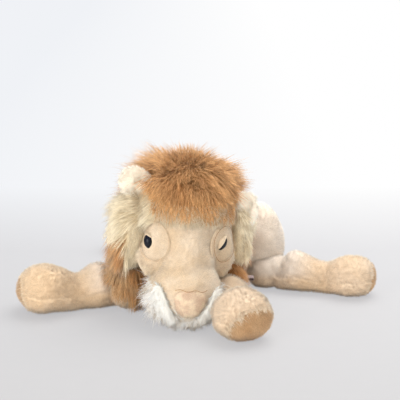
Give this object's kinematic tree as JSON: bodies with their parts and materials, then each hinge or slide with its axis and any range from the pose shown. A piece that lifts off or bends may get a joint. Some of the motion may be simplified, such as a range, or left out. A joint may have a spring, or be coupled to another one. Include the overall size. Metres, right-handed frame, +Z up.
{
  "type": "plush lion",
  "caption": "Soft toy lion lying on its belly, head down, legs splayed, with long-pile mane, hinged head, legs, ears and tail",
  "frame": {"origin": "on the floor under the middle of the belly, on the belly's flat", "axes": "+Z up, -Y the way the face looks, +X the lion's left"},
  "size_m": [0.4364, 0.4197, 0.1926],
  "materials": {
    "body_plush": "short pile plush, matte",
    "face_plush": "short pile plush, matte",
    "sole_plush": "short pile plush, matte",
    "ear_plush": "short pile plush, matte",
    "fibre_fill": "loose polyester fibre",
    "eye_plastic": "high gloss",
    "washer_plastic": "moulded, matte",
    "white_pile": "soft pile plush, matte",
    "tan_pile": "long pile plush, matte",
    "cream_pile": "long pile plush, matte",
    "rust_pile": "long pile plush, matte",
    "label_ribbon": "woven ribbon, matte"
  },
  "bodies": {
    "torso": {"haunch_left": "body_plush", "haunch_right": "body_plush", "label": "label_ribbon", "mane_collar_left": "rust_pile", "mane_collar_right": "rust_pile", "torso_skin": "body_plush", "torso_stuffing": "fibre_fill"},
    "neck": {"neck_gusset": "body_plush"},
    "head": {"chin": "white_pile", "eye_left": "eye_plastic", "eye_patch_left": "face_plush", "eye_patch_right": "face_plush", "eye_right": "eye_plastic", "head_skin": "face_plush", "head_stuffing": "fibre_fill", "lip_left": "white_pile", "lip_right": "white_pile", "mane_crown": "tan_pile", "mane_nape": "tan_pile", "nose": "face_plush", "ruff_left": "cream_pile", "ruff_right": "cream_pile", "washer_left": "washer_plastic", "washer_right": "washer_plastic"},
    "ear_left": {"ear_left_back": "ear_plush", "ear_left_front": "ear_plush"},
    "ear_right": {"ear_right_back": "ear_plush", "ear_right_front": "ear_plush"},
    "front_leg_left": {"front_leg_left_skin": "body_plush", "front_leg_left_sole": "sole_plush", "front_leg_left_stuffing": "fibre_fill"},
    "front_leg_right": {"front_leg_right_skin": "body_plush", "front_leg_right_sole": "sole_plush", "front_leg_right_stuffing": "fibre_fill"},
    "hind_leg_left": {"hind_leg_left_skin": "body_plush", "hind_leg_left_sole": "sole_plush", "hind_leg_left_stuffing": "fibre_fill"},
    "hind_leg_right": {"hind_leg_right_skin": "body_plush", "hind_leg_right_sole": "sole_plush", "hind_leg_right_stuffing": "fibre_fill"},
    "tail": {"tail_skin": "body_plush", "tail_stuffing": "fibre_fill", "tail_tuft": "tan_pile"}
  },
  "joints": [
    {"name": "neck_turn", "type": "hinge", "parent": "torso", "child": "neck", "pos_m": [-0.024, -0.054, 0.06], "axis": [0, 0, 1], "range_deg": [-15, 0]},
    {"name": "head_nod", "type": "hinge", "parent": "neck", "child": "head", "pos_m": [-0.024, -0.054, 0.06], "axis": [0.9903, 0.1392, 0], "range_deg": [-20, 0]},
    {"name": "shoulder_left", "type": "hinge", "parent": "torso", "child": "front_leg_left", "pos_m": [0.026, -0.082, 0.025], "axis": [0, 0, 1], "range_deg": [0, 50]},
    {"name": "shoulder_right", "type": "hinge", "parent": "torso", "child": "front_leg_right", "pos_m": [-0.076, -0.064, 0.025], "axis": [0, 0, 1], "range_deg": [-30, 5]},
    {"name": "hip_left", "type": "hinge", "parent": "torso", "child": "hind_leg_left", "pos_m": [0.087, 0.001, 0.024], "axis": [0, 0, 1], "range_deg": [-25, 12]},
    {"name": "hip_right", "type": "hinge", "parent": "torso", "child": "hind_leg_right", "pos_m": [-0.054, 0.066, 0.024], "axis": [0, 0, 1], "range_deg": [-10, 30]},
    {"name": "tail_swing", "type": "hinge", "parent": "torso", "child": "tail", "pos_m": [0.0375, 0.1075, 0.027], "axis": [0, 0, 1], "range_deg": [-20, 20]},
    {"name": "ear_left_fold", "type": "hinge", "parent": "head", "child": "ear_left", "pos_m": [0.04602, -0.09162, 0.1352], "axis": [-0.29, -0.0408, -0.9562], "range_deg": [-8, 10]},
    {"name": "ear_right_fold", "type": "hinge", "parent": "head", "child": "ear_right", "pos_m": [-0.06222, -0.1038, 0.1538], "axis": [0.6939, 0.0975, 0.7134], "range_deg": [-8, 10]}
  ]
}
